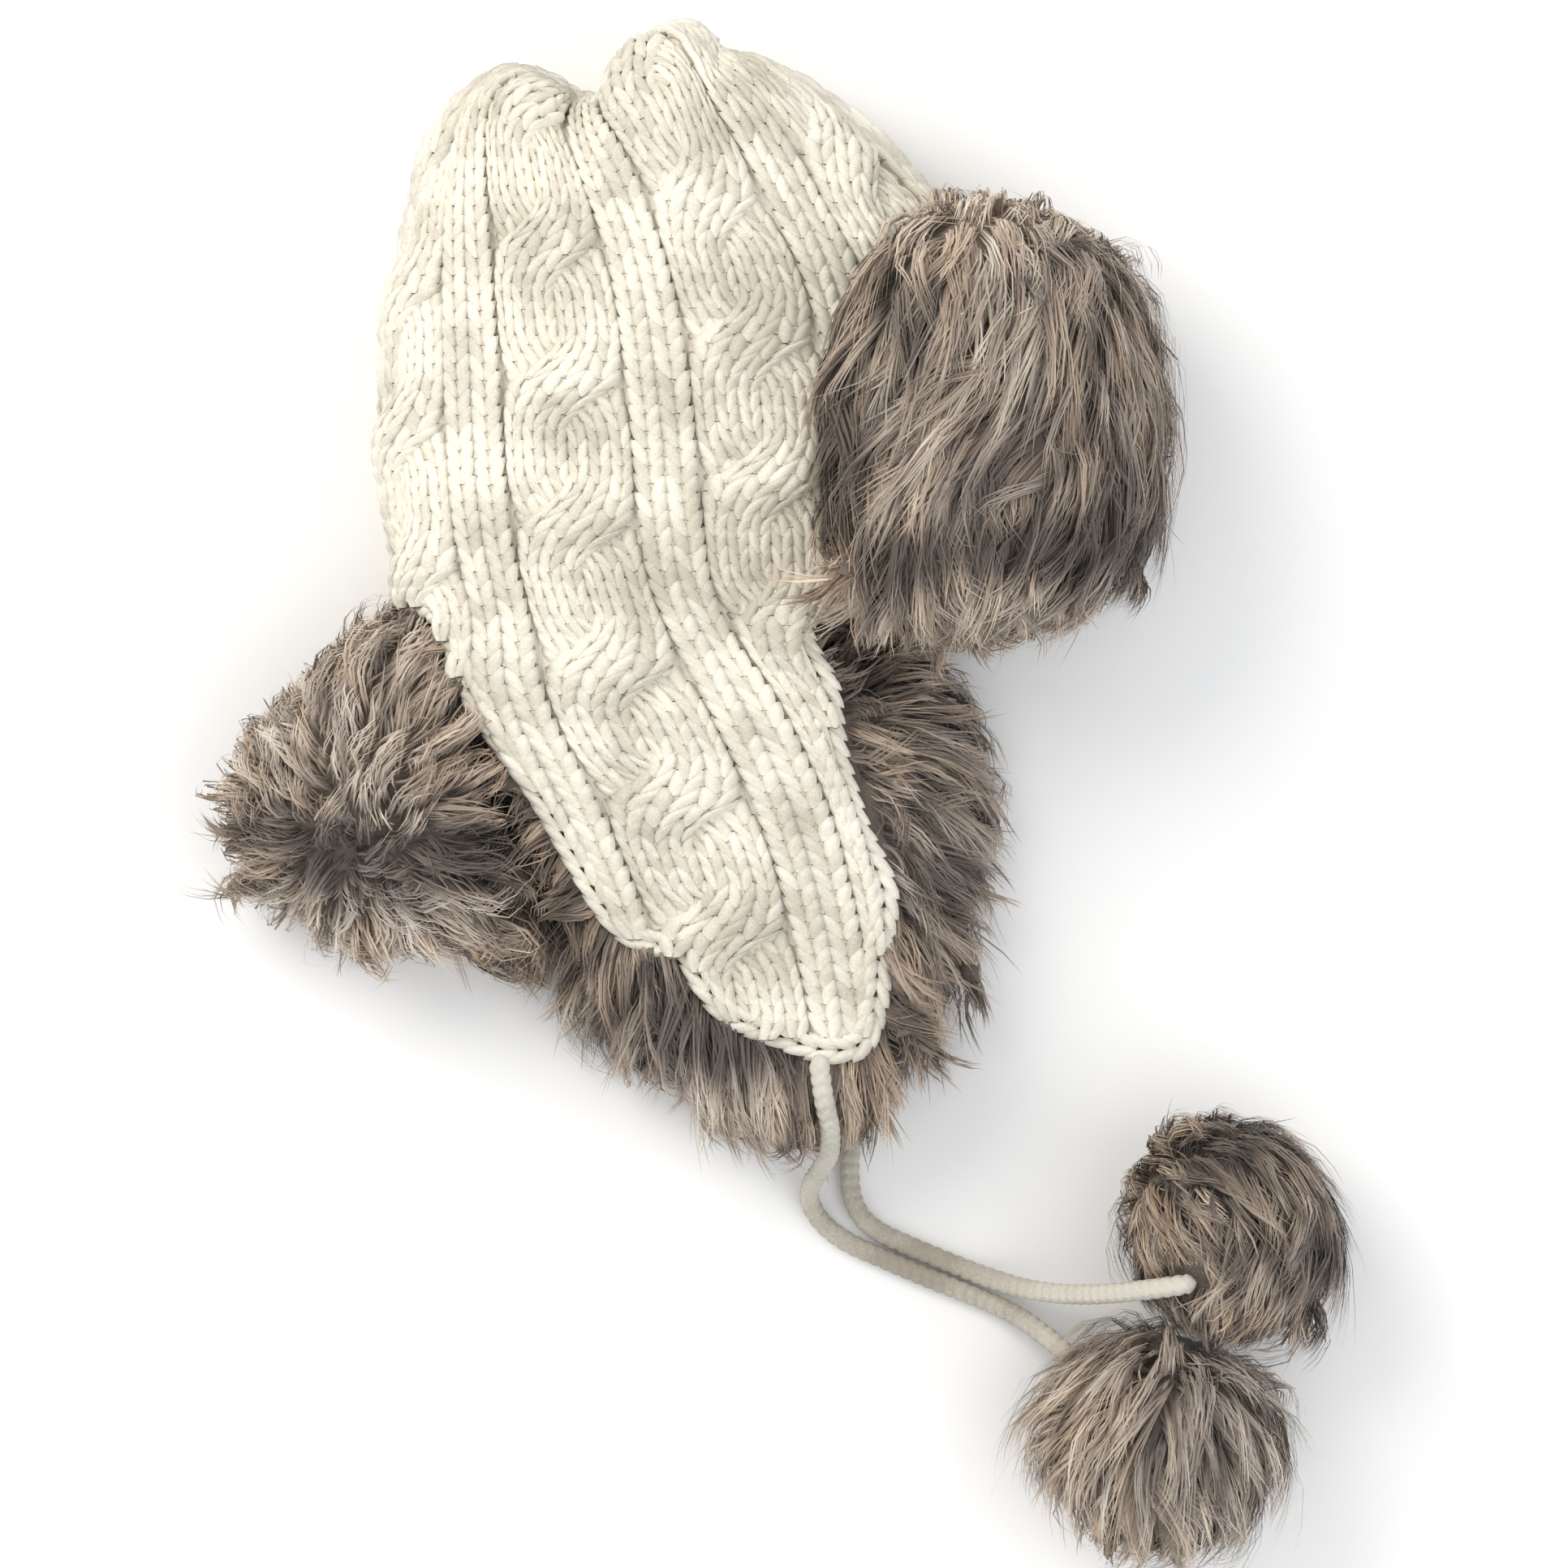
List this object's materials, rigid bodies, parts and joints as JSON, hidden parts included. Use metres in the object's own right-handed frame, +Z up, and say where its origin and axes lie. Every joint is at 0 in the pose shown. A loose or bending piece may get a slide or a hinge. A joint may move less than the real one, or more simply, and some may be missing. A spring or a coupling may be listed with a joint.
{
  "type": "cable knit trapper hat",
  "caption": "Chunky cable knit trapper hat lying on its side: knitted crown and ear flaps, fur brim, fur-lined flaps and nape, and two knitted ties ending in fur pompoms.",
  "frame": {"origin": "on the surface it lies on, below the middle of the hat's box without its ties and pompoms", "axes": "+X the way the face looks, +Y towards the top of the crown, +Z up, out of the hat's right side, which is on top"},
  "size_m": [0.3754, 0.5, 0.1245],
  "materials": {
    "cream_wool": "soft matte chunky wool, cable knitted",
    "cream_cord": "matte knitted cord",
    "brown_fur": "long soft fur, dark brown at the roots and tan at the tips"
  },
  "bodies": {
    "root": {"knit_shell": "cream_wool", "front_brim_fur": "brown_fur", "near_flap_fur": "brown_fur", "far_flap_fur": "brown_fur", "neck_fur": "brown_fur", "near_tie": "cream_cord", "far_tie": "cream_cord", "near_pompom": "brown_fur", "far_pompom": "brown_fur"}
  },
  "joints": []
}
